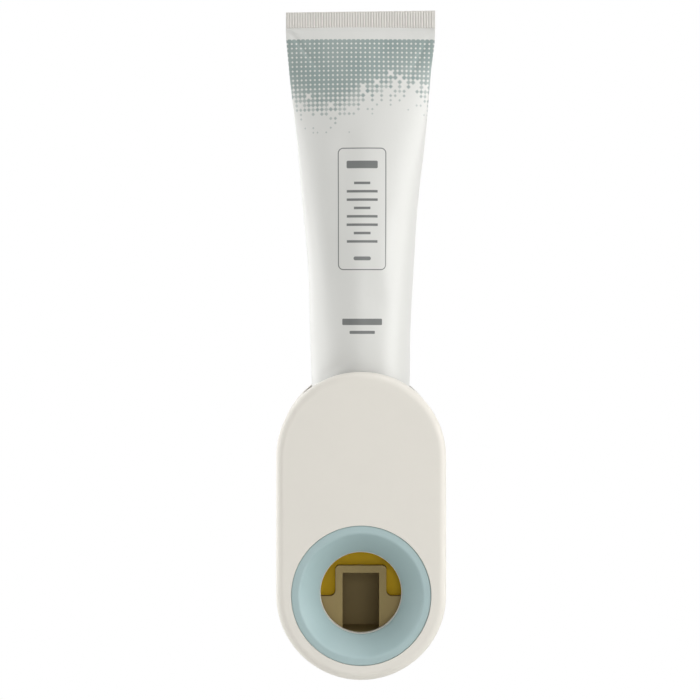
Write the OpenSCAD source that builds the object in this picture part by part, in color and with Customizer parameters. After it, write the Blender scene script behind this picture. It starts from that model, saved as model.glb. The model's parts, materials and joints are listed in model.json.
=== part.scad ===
// Wall-mounted toothpaste dispenser with a tube loaded. A toothbrush pushed into the round
// mouth moves a sprung carriage back, and its yoke squeezes a silicone bulb that feeds the
// nozzle. The wall is the plane y = 0, the front faces -Y and +Z is up. Depths are measured
// from the front face towards the wall.

/* [Housing] */
// Width of the cover and the housing
body_w = 66; // [64:1:72]
// Height of the cover and the housing
body_h = 119.5; // [117:0.5:130]
// Depth from the tube's axis to the housing's back
back_d = 26; // [26:0.5:32]
// Wall of the cover and the housing
shell_t = 2; // [1.6:0.1:2.2]
// Round along the cover's front edge
edge_r = 3; // [2.6:0.2:3.6]
// Round along the housing's rear edge
rear_r = 1.6; // [0.8:0.2:2.4]
// Depth of the removable cover
cover_d = 22; // [21:0.5:26]
// Reach of the cover's push-fit lip into the housing
lip_h = 3.5; // [2.5:0.5:5]
// Wall of the push-fit lip
lip_t = 1.2; // [1:0.1:1.4]
// Room round the tube in the opening in the top
opening_gap = 4; // [3:0.25:4.5]

/* [Mouth] */
// Outer radius of the funnel ring
ring_r = 27.1; // [26:0.1:27.4]
// Width of the ring's flat band
band_w = 3.1; // [2.4:0.1:4]
// Radius of the round mouth
mouth_r = 16.1; // [14.5:0.1:17]
// Depth of the funnel
funnel_d = 9; // [8:0.25:9.5]
// Wall of the funnel ring
ring_t = 1.4; // [1.1:0.1:1.6]
// Wall of the conical seat behind the ring
seat_t = 1.2; // [1:0.1:1.4]

/* [Push carriage] */
// Width of the hood that the brush head enters
hood_w = 20; // [18:0.5:21]
// Wall of the hood
hood_t = 2.8; // [2.2:0.1:3]
// Height of the hood's top above the centre of the mouth
hood_rise = 10; // [9:0.25:11]
// Drop from the centre of the mouth to the top of the wings
wing_drop = 2; // [1:0.25:4]
// Height of the wings
wing_h = 16; // [14:0.5:17]
// Reach of the wings round the mouth
wing_reach = 5.8; // [5.2:0.1:6]
// Travel of the carriage
travel = 7; // [5:0.25:7.5]
// Radius of the steel guide pins
pin_r = 1.5; // [1.25:0.05:1.75]
// Radius of the spring wire
wire_r = 0.35; // [0.25:0.05:0.45]
// Turns of each return spring
spring_turns = 8; // [6:1:9]

/* [Pump] */
// Outer radius of the squeeze bulb
bulb_r = 9; // [8:0.25:9.25]
// Wall of the squeeze bulb
bulb_t = 1.4; // [1.1:0.1:1.6]
// Height of the bulb between shelf and inlet
bulb_h = 22; // [21:0.5:25]
// Height of the sealing sleeve in its cup
sleeve_h = 17; // [15:0.5:19]
// Outer radius of the sealing sleeve
sleeve_r = 12.9; // [12:0.1:13.4]
// Radius of the nozzle's tip
tip_r = 3.2; // [2.6:0.1:3.6]

/* [Toothpaste tube] */
// Radius of the tube where it is round
tube_r = 19; // [17.5:0.25:19.5]
// Length of the tube's soft body with its crimp
tube_len = 163; // [140:1:175]
// Height of the crimped tail
crimp_h = 6.6; // [5.4:0.2:10]
// Radius of the tube's neck
neck_r = 6; // [5:0.1:6.6]
// Length of the tube's neck
neck_h = 11.5; // [9:0.5:12.5]

/* [Wall bracket] */
// Width of the wall plate
plate_w = 42; // [36:1:50]
// Height of the wall plate
plate_h = 76; // [60:1:90]
// Thickness of the wall plate
plate_t = 2; // [1.6:0.2:3]
// Thickness of the adhesive pad
pad_t = 1; // [0.6:0.2:1.6]
// Width of the dovetail rail at its wide face
rail_w = 20; // [16:0.5:24]
// Height of the dovetail rail above the plate
rail_h = 3.5; // [3:0.25:5]
// Length of the dovetail rail
rail_len = 40; // [30:1:50]

/* [Fits] */
// Clearance between parts that slide on each other
slide_gap = 0.3; // [0.2:0.05:0.4]
// Clearance between parts that are fixed together
seat_gap = 0.1; // [0.05:0.05:0.15]
// Radial clearance of the guide pins in their bores
pin_gap = 0.06; // [0.03:0.01:0.1]
// Radial clearance of the funnel ring in the cover
ring_gap = 0.06; // [0.03:0.01:0.15]

/* [Hidden] */
$fn = 96;
cut = 0.5;

// Depths of the mouth from the front face
rim_sink = 0.3;
rim_slope = -0.15;
rim_h = 2.2;
ring_lip = 0.8;
ring_edge = 0.4;
ring_crest = 0.6;
ring_foot = 0.7;
ring_heel = 0.8;
ring_heel_in = 0.4;
ring_band_r = ring_r - band_w;
band_slope = rim_slope / band_w;
funnel_v0 = rim_sink + rim_slope;
funnel_slope = (funnel_d - funnel_v0) / (ring_band_r - mouth_r);
funnel_slant = sqrt(1 + pow(funnel_slope, 2));
ring_foot_r = mouth_r + (ring_t * funnel_slant - ring_lip) / funnel_slope;
collar_t = 2.6;
collar_wall = 1.3;
collar_in = 0.25;
carriage_gap = 1.5;
seat_end = funnel_d + ring_lip + seat_gap;
seat_root = 0.5;
seat_rim_t = 1.6;
hood_v = seat_end + collar_t + carriage_gap;
disc_set = 3;
disc_v = hood_v + disc_set;
disc_t = 2;
frame_v = disc_v + disc_t;

// Nozzle seat under the shelf, which sets the tube's axis
nozzle_room = 5.25;
shelf_t = 2.5;
clamp_t = 1.5;
nozzle_flange_t = 1.5;
nozzle_wall = 1.8;
tip_wall = 1;
tip_skin = 0.8;
tip_slit = 0.3;
tip_out = 0.25;
cone_h = 1.4;
nozzle_body_r = tip_r + nozzle_wall;
nozzle_flange_r = nozzle_body_r + 1.4;
skirt_in = nozzle_flange_r + 0.4;
skirt_t = 1.2;
spout_r = 4.1;
axis_gap = 1;
tube_v = frame_v + skirt_in + skirt_t + axis_gap;
body_d = tube_v + back_d;
frame_back = body_d - shell_t;

// Stadium outline and the standoff from the wall
body_r = body_w / 2;
straight_h = body_h - body_w;
inner_r = body_r - shell_t;
standoff = pad_t + plate_t + rail_h + slide_gap;
front_y = -(standoff + body_d);
tube_y = front_y + tube_v;
mouth_z = -straight_h / 2;
cover_end = cover_d - slide_gap;
lip_root = 2.5;

// Round chamber of the pump frame, which clears the cover's lip
lip_r = inner_r - slide_gap;
drum_gap = 0.4;
drum_r = lip_r - lip_t - drum_gap;
drum_t = 1.6;
drum_in = drum_r - drum_t;
rear_wall_t = 2.5;

// Screws: a countersunk head, a plain shank and a cross recess
screw_r = 1.25;
screw_head_r = 2.4;
screw_head_h = 1.3;
screw_len = 9;
yoke_screw_len = 5;
screw_grip = 0.05;
cross_w = 2.6;
cross_t = 0.5;
cross_depth = 0.8;
boss_r = 2.6;
boss_root = 0.8;
disc_boss_len = 12;
disc_screw_ring = drum_in - boss_r + boss_root;
disc_screw_angles = [20, 160, 270];
rear_boss_r = 3.2;
rear_boss_len = 8;

// Push carriage
carriage_r = mouth_r + wing_reach;
flange_t = 1.5;
flange_grow = 1.5;
flange_v = frame_v + slide_gap;
hood_top = mouth_z + hood_rise;
ceiling_z = hood_top - hood_t;
wing_top = mouth_z - wing_drop;
wing_bottom = wing_top - wing_h;
wing_depth = 10;
wing_wall = 2.2;
recess_w = hood_w - 2 * hood_t;
hood_back_t = 2;
hood_back_gap = 2.5;
hood_end = frame_back - rear_wall_t - travel - hood_back_gap;
corner_r = 1.6;
fillet_r = 2.2;
recess_floor = 1.5;
slot_gap = 0.6;

// Guide pins and return springs between the wings and the frame
spring_fit = 0.9;
spring_r = pin_r + wire_r + spring_fit;
spring_room = 0.8;
spring_slack = 2.4;
pin_x = hood_w / 2 + flange_grow + spring_room + spring_r + wire_r;
pin_z = wing_top - wing_h / 2;
pin_boss_r = pin_r + 1.7;
pin_boss_set = 1;
guide_boss_r = pin_r + 2.4;
spring_v0 = hood_v + wing_depth;
spring_v1 = spring_v0 + travel + 2 * spring_turns * wire_r + spring_slack;
pin_end_gap = 0.5;
pin_web = 0.2;
pin_grip = 0.02;
pin_end_v = frame_back - travel - pin_end_gap;
low_screw_x = hood_w / 2 + flange_grow + rear_boss_r;
low_screw_ring = drum_in - rear_boss_r + boss_root;
low_screw_z = mouth_z - sqrt(pow(low_screw_ring, 2) - pow(low_screw_x, 2));

// Shelf of the frame between the carriage and the bulb
shelf_z = hood_top + nozzle_room;
shelf_top = shelf_z + shelf_t;

// Inlet: valve, bulb flange and clamp hang under the cup's floor
cup_floor = shelf_top + bulb_h;
cup_floor_t = 3;
cup_t = 2.1;
cup_in = sleeve_r + seat_gap;
cup_r = cup_in + cup_t;
cup_z = cup_floor + cup_floor_t;
cup_top = cup_z + sleeve_h;
inlet_r = 4;
valve_slit = 0.6;
valve_rim = 0.8;
valve_t = 1;
bulb_flange_t = 2;
bulb_clamp_t = 2;
bulb_neck_in = 2.2;
bulb_neck_r = bulb_r - bulb_neck_in;
belly_in = 0.41 * bulb_h;
belly_rise = 0.32 * bulb_h;
spout_tail = 1.2;
valve_r = bulb_neck_r + 3.6;
inlet_skirt_in = valve_r + 0.2;
inlet_skirt_t = 1.8;
inlet_skirt_h = valve_t + bulb_flange_t + bulb_clamp_t;

// Squeeze yoke that rides on the carriage
yoke_t = 2.2;
yoke_foot = 1.4;
yoke_x = hood_w / 2 + yoke_foot;
leg_half = 3;
yoke_v0 = hood_v;
leg_v0 = tube_v - leg_half;
leg_v1 = tube_v + leg_half;
yoke_h = 8;
yoke_rise = 1.5;
yoke_z = shelf_top + (bulb_h - inlet_skirt_h - yoke_h) / 2 + yoke_rise;
yoke_nose_r = 6;
foot_h = 7;
anvil_v = tube_v + bulb_r + slide_gap;
anvil_t = 2.7;
anvil_gap = 0.9;
anvil_w = 2 * (yoke_x - anvil_gap);
anvil_rib_h = 6;
anvil_rib_t = 2;
ear_x = yoke_x + yoke_t + rear_boss_r + 4.2;
ear_w = ear_x + rear_boss_r;
ear_h = 7.5;
ear_gap = 1.45;
ear_z = yoke_z + yoke_h + ear_gap + ear_h / 2;

// Sealing sleeve and the ring that holds it in the cup
sleeve_flange_r = cup_in + 1.5;
sleeve_flange_t = 1.2;
sleeve_ribs = 3;
sleeve_rib_h = 0.8;
sleeve_rib_slope = 0.5;
sleeve_rib_gap = 0.12;
sleeve_bore_gap = 0.6;
sleeve_lead = 0.8;
sleeve_top_gap = 0.25;
ring_plate_t = 1.8;
ring_skirt_t = 1.3;
ring_skirt_h = 5;
ring_chamfer = 0.8;
sleeve_ring_in = sleeve_r - 1.1;
sleeve_ring_top = cup_top + sleeve_flange_t + ring_plate_t;

// Toothpaste tube, seated on the sleeve
tube_seat = 0.5;
shoulder_step = 0.5;
shoulder_r = neck_r + shoulder_step;
shoulder_slope = 0.52;
head_slant = sqrt(1 + pow(shoulder_slope, 2));
shoulder_z = sleeve_ring_top - shoulder_slope * (sleeve_ring_in - shoulder_r) + tube_seat;
rim_z = shoulder_z + shoulder_slope * (tube_r - shoulder_r);
rim_t = 0.6;
neck_end = shoulder_z - neck_h;
flat_half_w = PI * tube_r / 2;
crimp_t = 1.1;
early_fall = 0.2;
head_wall = 1.3;
head_bore = 3.2;
tube_sides = 40;
tube_rings = 16;
opening_r = tube_r + opening_gap;

// Dovetail rail and its socket
rail_flare = 1.5;
rail_face_y = -(pad_t + plate_t);
cheek_w = 4;
stop_h = 3;
plate_corner = 8;
pad_inset = 1;

// Depth behind the front face as a y coordinate
function depth_y(v) = front_y + v;

// Points of a smooth bend from a to c, drawn towards b
function bend(a, b, c, steps = 5) = [
    for (i = [0:steps])
        let (t = i / steps)
        (1 - t) * (1 - t) * a + 2 * t * (1 - t) * b + t * t * c
];

// Perimeter of an ellipse from its two half widths, by Ramanujan's formula
function ellipse_round(a, b) =
    let (h = pow((a - b) / (a + b), 2))
    PI * (a + b) * (1 + 3 * h / (10 + sqrt(4 - 3 * h)));

// Half width of the ellipse that keeps the tube's perimeter at half thickness b, by halving
function half_width(b, low, high, steps = 16) =
    let (mid = (low + high) / 2)
    steps == 0 ? mid
    : ellipse_round(mid, b) > 2 * PI * tube_r
        ? half_width(b, low, mid, steps - 1)
        : half_width(b, mid, high, steps - 1);

// Faces of a closed tube of rings, each with the same number of points
function skin_faces(rings, sides) = concat(
    [[for (i = [0:sides - 1]) sides - 1 - i]],
    [
        for (k = [0:rings - 2])
            for (i = [0:sides - 1])
                let (j = (i + 1) % sides, a = k * sides + i, b = k * sides + j)
                each [[a, b, b + sides], [a, b + sides, a + sides]]
    ],
    [[for (i = [0:sides - 1]) (rings - 1) * sides + i]]
);

// A drawing in x and z, thickened from depth v0 to depth v1
module slab(v0, v1) {
    translate([0, depth_y(v1), 0])
        rotate([90, 0, 0])
            linear_extrude(v1 - v0) children();
}

// A drawing of radius and depth, turned about the line through the mouth's centre
module turned_on_mouth() {
    translate([0, front_y, mouth_z])
        rotate([-90, 0, 0])
            rotate_extrude() children();
}

// A drawing of radius and height, turned about the tube's axis
module turned_on_tube() {
    translate([0, tube_y, 0])
        rotate_extrude() children();
}

module both_sides() {
    children();
    mirror([1, 0, 0]) children();
}

// A drawing of radius and depth, swept round the stadium outline
module stadium_sweep() {
    for (turn = [0, 180])
        rotate([0, turn, 0])
            translate([0, front_y, -straight_h / 2])
                rotate([-90, 0, 0])
                    rotate_extrude(angle = 180) children();
    both_sides()
        translate([0, front_y, -straight_h / 2])
            linear_extrude(straight_h) children();
}

// Half section of a solid cap with one rounded edge
module rounded_front(r, v0, v1, round_r) {
    translate([0, v0 + round_r]) square([r, v1 - v0 - round_r]);
    translate([0, v0]) square([r - round_r, v1 - v0]);
    translate([r - round_r, v0 + round_r]) circle(round_r);
}

module rounded_back(r, v0, v1, round_r) {
    translate([0, v0]) square([r, v1 - v0 - round_r]);
    translate([0, v0]) square([r - round_r, v1 - v0]);
    translate([r - round_r, v1 - round_r]) circle(round_r);
}

module rounded_rect(w, h, r) {
    square([w, h - 2 * r], center = true);
    square([w - 2 * r, h], center = true);
    for (x = [-1, 1], z = [-1, 1])
        translate([x * (w / 2 - r), z * (h / 2 - r)]) circle(r);
}

// A rod along the depth axis, from depth v0 to v1
module rod(x, z, r, v0, v1) {
    translate([x, depth_y(v0), z])
        rotate([-90, 0, 0])
            cylinder(r = r, h = v1 - v0);
}

// One countersunk screw, its head's face at the origin and its shank along +Z
module screw(length) {
    difference() {
        rotate_extrude()
            polygon([
                [0, 0], [screw_head_r, 0], [screw_r, screw_head_h],
                [screw_r, length - screw_r], [screw_r / 2, length], [0, length]
            ]);
        for (turn = [0, 90])
            rotate([0, 0, turn])
                translate([-cross_w / 2, -cross_t / 2, -cut])
                    cube([cross_w, cross_t, cut + cross_depth]);
    }
}

// The hole that takes a screw's head and shank through a wall
module screw_hole(gap, length) {
    rotate_extrude()
        polygon([
            [0, -cut], [screw_head_r + gap + cut, -cut], [screw_head_r + gap, 0],
            [screw_r + gap, screw_head_h], [screw_r + gap, length], [0, length]
        ]);
}

// The round opening in the top that the tube stands in
module tube_opening() {
    translate([0, tube_y, body_h / 2 - body_r])
        cylinder(r = opening_r, h = body_r + cut);
}

// Wall bracket
module adhesive_pad() {
    color("#d9dcd8")
        rotate([90, 0, 0])
            linear_extrude(pad_t)
                rounded_rect(
                    plate_w - 2 * pad_inset, plate_h - 2 * pad_inset, plate_corner - pad_inset
                );
}

module rail_section(grow) {
    half = rail_w / 2;
    polygon([
        [-(half - rail_flare + grow), 0], [-(half + grow), -rail_h], [half + grow, -rail_h],
        [half - rail_flare + grow, 0]
    ]);
}

module wall_plate() {
    color("#e9eae6") {
        translate([0, -pad_t, 0])
            rotate([90, 0, 0])
                linear_extrude(plate_t) rounded_rect(plate_w, plate_h, plate_corner);
        translate([0, rail_face_y, -rail_len / 2])
            linear_extrude(rail_len) rail_section(0);
    }
}

// Rear housing with the dovetail socket outside its back
module socket() {
    half = rail_w / 2 + slide_gap;
    wall_side = rail_face_y - slide_gap;
    flank = rail_flare * (rail_h - slide_gap) / rail_h;
    both_sides()
        translate([0, 0, -rail_len / 2])
            linear_extrude(rail_len + slide_gap)
                polygon([
                    [half, -standoff - cut], [half, -standoff], [half - flank, wall_side],
                    [half + cheek_w, wall_side], [half + cheek_w, -standoff - cut]
                ]);
    translate([-half - cheek_w, -standoff - cut, rail_len / 2 + slide_gap])
        cube([2 * (half + cheek_w), standoff + cut + wall_side, stop_h]);
}

module each_housing_screw() {
    for (x = [-1, 1]) {
        translate([x * ear_x, depth_y(body_d), ear_z]) rotate([90, 0, 0]) children();
        translate([x * low_screw_x, depth_y(body_d), low_screw_z]) rotate([90, 0, 0]) children();
    }
}

module rear_housing() {
    color("#e6e2da") {
        difference() {
            stadium_sweep() rounded_back(body_r, cover_d, body_d, rear_r);
            stadium_sweep()
                translate([0, cover_d - cut]) square([inner_r, frame_back - cover_d + cut]);
            tube_opening();
            each_housing_screw() screw_hole(seat_gap, shell_t + cut);
        }
        socket();
    }
}

module housing_screws() {
    color("#b9bcbe") each_housing_screw() screw(screw_len);
}

// Pump frame: a round chamber for the carriage, an anvil behind the bulb and a cup above it
module drum_outline(r, top) {
    intersection() {
        translate([0, mouth_z]) circle(r);
        translate([-r, mouth_z - r]) square([2 * r, top - mouth_z + r]);
    }
}

module each_disc_screw() {
    for (angle = disc_screw_angles)
        translate([
            disc_screw_ring * cos(angle), depth_y(disc_v), mouth_z + disc_screw_ring * sin(angle)
        ])
            rotate([-90, 0, 0]) children();
}

module frame_chamber() {
    slab(frame_v, frame_back)
        difference() {
            drum_outline(drum_r, shelf_top);
            drum_outline(drum_in, shelf_z);
        }
    slab(frame_back - rear_wall_t, frame_back) drum_outline(drum_r, shelf_top);
    each_disc_screw()
        translate([0, 0, disc_t]) cylinder(r = boss_r, h = disc_boss_len);
    for (x = [-1, 1]) {
        rod(x * pin_x, pin_z, guide_boss_r, spring_v1, frame_back);
        rod(x * low_screw_x, low_screw_z, rear_boss_r, frame_back - rear_boss_len, frame_back);
    }
    turned_on_tube()
        translate([skirt_in, shelf_z - nozzle_flange_t - clamp_t])
            square([skirt_t, nozzle_flange_t + clamp_t + cut]);
}

module frame_tower() {
    slab(anvil_v, anvil_v + anvil_t) {
        translate([-anvil_w / 2, shelf_top - cut]) square([anvil_w, cup_z - shelf_top + cut]);
        translate([-ear_w, ear_z - ear_h / 2]) square([2 * ear_w, ear_h]);
    }
    for (x = [-1, 1]) {
        rod(x * ear_x, ear_z, rear_boss_r, anvil_v, frame_back);
        translate([x * anvil_w / 4 - anvil_rib_t / 2, depth_y(anvil_v), shelf_top - cut])
            cube([anvil_rib_t, frame_back - anvil_v, anvil_rib_h]);
    }
    turned_on_tube() {
        translate([0, cup_floor]) square([cup_r, cup_floor_t]);
        translate([cup_in, cup_floor]) square([cup_t, cup_top - cup_floor]);
        translate([inlet_skirt_in, cup_floor - inlet_skirt_h])
            square([inlet_skirt_t, inlet_skirt_h + cut]);
    }
}

module pump_frame() {
    leg_slot = yoke_t + 2 * slide_gap;
    color("#dcdad2")
        difference() {
            union() {
                frame_chamber();
                frame_tower();
            }
            turned_on_tube() {
                translate([0, cup_floor - cut]) square([inlet_r, cup_floor_t + 2 * cut]);
                translate([0, shelf_z - cut]) square([spout_r + seat_gap, shelf_t + 2 * cut]);
                translate([0, cup_floor - inlet_skirt_h - cut])
                    square([inlet_skirt_in, inlet_skirt_h + cut]);
            }
            both_sides()
                translate([yoke_x - slide_gap, depth_y(leg_v0 - cut), shelf_z - cut])
                    cube([leg_slot, leg_v1 - leg_v0 + travel + 2 * cut, shelf_t + 2 * cut]);
            for (x = [-1, 1])
                rod(x * pin_x, pin_z, pin_r + pin_gap, spring_v1 - cut, frame_back - pin_web);
            each_disc_screw() screw_hole(screw_grip, screw_len + cut);
            each_housing_screw() cylinder(r = screw_r + screw_grip, h = screw_len + cut);
        }
}

// Plate with the carriage's window, closing the chamber's front
module tongue_outline(grow) {
    w = hood_w + 2 * grow;
    top = hood_top + grow;
    r = corner_r;
    translate([-w / 2, wing_bottom - grow]) square([w, top - wing_bottom + grow - r]);
    translate([-w / 2 + r, top - r - cut]) square([w - 2 * r, r + cut]);
    for (x = [-1, 1])
        translate([x * (w / 2 - r), top - r]) circle(r);
}

module carriage_outline(grow) {
    w = hood_w + 2 * grow;
    tongue_outline(grow);
    intersection() {
        translate([0, mouth_z]) circle(carriage_r + grow);
        translate([-carriage_r - grow, wing_bottom - grow])
            square([2 * (carriage_r + grow), wing_h + 2 * grow]);
    }
    for (side = [0, 1])
        mirror([side, 0])
            difference() {
                translate([w / 2 - cut, wing_top + grow - cut])
                    square([fillet_r + cut, fillet_r + cut]);
                translate([w / 2 + fillet_r, wing_top + grow + fillet_r]) circle(fillet_r);
            }
}

module guide_disc() {
    color("#c9992e")
        difference() {
            slab(disc_v, disc_v + disc_t)
                difference() {
                    drum_outline(drum_r, shelf_top);
                    carriage_outline(slide_gap);
                }
            each_disc_screw() screw_hole(seat_gap, disc_t + cut);
        }
}

module disc_screws() {
    color("#b9bcbe") each_disc_screw() screw(screw_len);
}

// Inlet: sealing sleeve, retaining ring and flap valve
module neck_sleeve() {
    bore = neck_r + sleeve_bore_gap;
    rib = neck_r + sleeve_rib_gap;
    rib_h = sleeve_rib_h;
    shelf = neck_end - slide_gap;
    rib_step = (shoulder_z - shelf) / (sleeve_ribs + 1);
    lead = bore + sleeve_lead;
    ribs = [for (k = [sleeve_ribs - 1:-1:0]) shelf + (k + 0.85) * rib_step];
    color("#c8ccca")
        turned_on_tube()
            polygon(concat(
                [
                    [inlet_r, cup_z], [sleeve_r, cup_z], [sleeve_r, cup_top],
                    [sleeve_flange_r, cup_top], [sleeve_flange_r, cup_top + sleeve_flange_t],
                    [sleeve_ring_in - seat_gap, cup_top + sleeve_flange_t],
                    [
                        sleeve_ring_in - seat_gap,
                        shoulder_z + shoulder_slope * (sleeve_ring_in - shoulder_r) - sleeve_top_gap
                    ],
                    [lead, shoulder_z + shoulder_slope * (lead - shoulder_r) - sleeve_top_gap],
                    [bore, shoulder_z - 1.5 * sleeve_lead]
                ],
                [
                    for (z = ribs)
                        each [
                            [bore, z + rib_h + sleeve_rib_slope], [rib, z + rib_h], [rib, z],
                            [bore, z - sleeve_rib_slope]
                        ]
                ],
                [[bore, shelf], [inlet_r, shelf]]
            ));
}

module sleeve_ring() {
    skirt_r = cup_r + seat_gap;
    skirt_h = ring_skirt_h;
    top = sleeve_ring_top;
    color("#9fb6bb")
        turned_on_tube()
            polygon([
                [sleeve_ring_in, top - ring_plate_t], [skirt_r, top - ring_plate_t],
                [skirt_r, cup_top - skirt_h], [skirt_r + ring_skirt_t, cup_top - skirt_h],
                [skirt_r + ring_skirt_t, top - ring_chamfer],
                [skirt_r + ring_skirt_t - ring_chamfer, top], [sleeve_ring_in, top]
            ]);
}

module inlet_valve() {
    color("#d8d6cf")
        translate([0, tube_y, cup_floor - valve_t])
            difference() {
                cylinder(r = valve_r, h = valve_t);
                rotate([0, 0, -60])
                    rotate_extrude(angle = 300)
                        translate([inlet_r + valve_rim, -cut])
                            square([valve_slit, valve_t + 2 * cut]);
            }
}

// Squeeze bulb with its flange, throat, belly and spout
module pump_bulb() {
    top = cup_floor - valve_t;
    neck = bulb_neck_r;
    belly_top = top - belly_in;
    belly_low = shelf_top + belly_rise;
    end = shelf_z - spout_tail;
    outside = concat(
        [[valve_r, top], [valve_r, top - bulb_flange_t]],
        [[neck, top - bulb_flange_t], [neck, top - bulb_flange_t - 2]],
        bend([neck, top - bulb_flange_t - 2.2], [bulb_r, belly_top + 2], [bulb_r, belly_top - 1]),
        bend([bulb_r, belly_low], [bulb_r, shelf_top + 1.6], [spout_r, shelf_top + 0.6]),
        [[spout_r, end]]
    );
    inside = concat(
        [[spout_r - bulb_t, end]],
        bend(
            [spout_r - bulb_t, shelf_top + 2.2], [bulb_r - bulb_t, shelf_top + 2.8],
            [bulb_r - bulb_t, belly_low + 0.4]
        ),
        bend(
            [bulb_r - bulb_t, belly_top - 1.4], [bulb_r - bulb_t, belly_top + 1.4],
            [neck - bulb_t, top - bulb_flange_t - 2.6]
        ),
        [[neck - bulb_t, top]]
    );
    color("#e4e2da") turned_on_tube() polygon(concat(outside, inside));
}

module bulb_clamp() {
    inner = bulb_neck_r + seat_gap;
    color("#c3c6c4")
        turned_on_tube()
            translate([inner, cup_floor - inlet_skirt_h])
                square([inlet_skirt_in - seat_gap - inner, bulb_clamp_t]);
}

// Outlet: slit nozzle and the ring that holds it
module outlet_nozzle() {
    tip_z = ceiling_z - tip_out;
    cone_z = shelf_z - nozzle_flange_t - clamp_t - 0.4;
    bore = tip_r - tip_wall;
    socket_z = shelf_z - spout_tail - 0.2;
    color("#e4e2da")
        difference() {
            turned_on_tube()
                polygon([
                    [spout_r + 0.05, shelf_z], [nozzle_flange_r, shelf_z],
                    [nozzle_flange_r, shelf_z - nozzle_flange_t],
                    [nozzle_body_r, shelf_z - nozzle_flange_t], [nozzle_body_r, cone_z],
                    [tip_r, cone_z - cone_h], [tip_r, tip_z + 0.6], [tip_r - 0.6, tip_z], [0, tip_z],
                    [0, tip_z + tip_skin], [bore, tip_z + tip_skin + 0.6], [bore, socket_z],
                    [spout_r + 0.05, socket_z]
                ]);
            translate([-bore + 0.1, tube_y - tip_slit / 2, tip_z - cut])
                cube([2 * bore - 0.2, tip_slit, 2 * cut + tip_skin]);
        }
}

module nozzle_clamp() {
    inner = nozzle_body_r + seat_gap;
    color("#c3c6c4")
        turned_on_tube()
            translate([inner, shelf_z - nozzle_flange_t - clamp_t])
                square([skirt_in - seat_gap - inner, clamp_t]);
}

// Return springs: closed turns at both ends, open turns between
function spring_rise(t) =
    let (open = (spring_v1 - spring_v0 - 6 * wire_r) / (spring_turns - 2))
    t < 1 ? wire_r * (1 + 2 * t)
    : t > spring_turns - 1
        ? spring_v1 - spring_v0 - wire_r * (1 + 2 * (spring_turns - t))
        : 3 * wire_r + (t - 1) * open;

module spring() {
    sides = 6;
    per_turn = 12;
    steps = spring_turns * per_turn;
    points = [
        for (k = [0:steps])
            let (angle = 360 * k / per_turn, rise = spring_rise(k / per_turn))
            for (i = [0:sides - 1])
                let (r = spring_r + wire_r * cos(-360 * i / sides))
                [r * cos(angle), r * sin(angle), rise + wire_r * sin(-360 * i / sides)]
    ];
    polyhedron(points, skin_faces(steps + 1, sides), convexity = 10);
}

module return_springs() {
    color("#c4c7c9")
        for (x = [-1, 1])
            translate([x * pin_x, depth_y(spring_v0), pin_z])
                rotate([-90, 0, 0]) spring();
}

// Push carriage: a hood for the brush head between two wings
module wing_pocket() {
    intersection() {
        translate([0, mouth_z]) circle(carriage_r - wing_wall);
        for (side = [0, 1])
            mirror([side, 0])
                translate([hood_w / 2, wing_bottom + wing_wall])
                    square([carriage_r, wing_h - 2 * wing_wall]);
    }
}

module carriage_body() {
    slab(hood_v, hood_v + wing_depth)
        difference() {
            carriage_outline(0);
            wing_pocket();
        }
    slab(hood_v, hood_v + wing_wall) wing_pocket();
    slab(hood_v, hood_end) tongue_outline(0);
    slab(flange_v, flange_v + flange_t)
        difference() {
            carriage_outline(flange_grow);
            wing_pocket();
            translate([-hood_w, hood_top - corner_r]) square([2 * hood_w, hood_rise]);
        }
    both_sides() {
        rod(pin_x, pin_z, pin_boss_r, hood_v + pin_boss_set, hood_v + wing_depth);
        translate([hood_w / 2 - cut, depth_y(leg_v0), ceiling_z - foot_h])
            cube([yoke_x - seat_gap - hood_w / 2 + cut, leg_v1 - leg_v0, foot_h]);
    }
}

module push_carriage() {
    slot_r = tip_r + slot_gap;
    color("#a98e5e")
        difference() {
            carriage_body();
            slab(hood_v - cut, hood_end - hood_back_t)
                translate([-recess_w / 2, wing_bottom + recess_floor])
                    square([recess_w, ceiling_z - wing_bottom - recess_floor]);
            translate([-slot_r, depth_y(tube_v - travel), ceiling_z - cut])
                cube([2 * slot_r, travel, hood_t + 2 * cut]);
            for (v = [tube_v - travel, tube_v])
                translate([0, depth_y(v), ceiling_z - cut])
                    cylinder(r = slot_r, h = hood_t + 2 * cut);
            for (x = [-1, 1])
                rod(x * pin_x, pin_z, pin_r + pin_grip, hood_v + wing_wall, spring_v0 + cut);
            each_yoke_screw() cylinder(r = screw_r + screw_grip, h = yoke_screw_len + cut);
        }
}

module each_yoke_screw() {
    for (side = [-1, 1])
        translate([side * (yoke_x + yoke_t), tube_y, ceiling_z - foot_h / 2])
            rotate([0, -side * 90, 0]) children();
}

module guide_pins() {
    color("#c4c7c9")
        for (x = [-1, 1])
            rod(x * pin_x, pin_z, pin_r, hood_v + wing_wall, pin_end_v);
}

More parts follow.
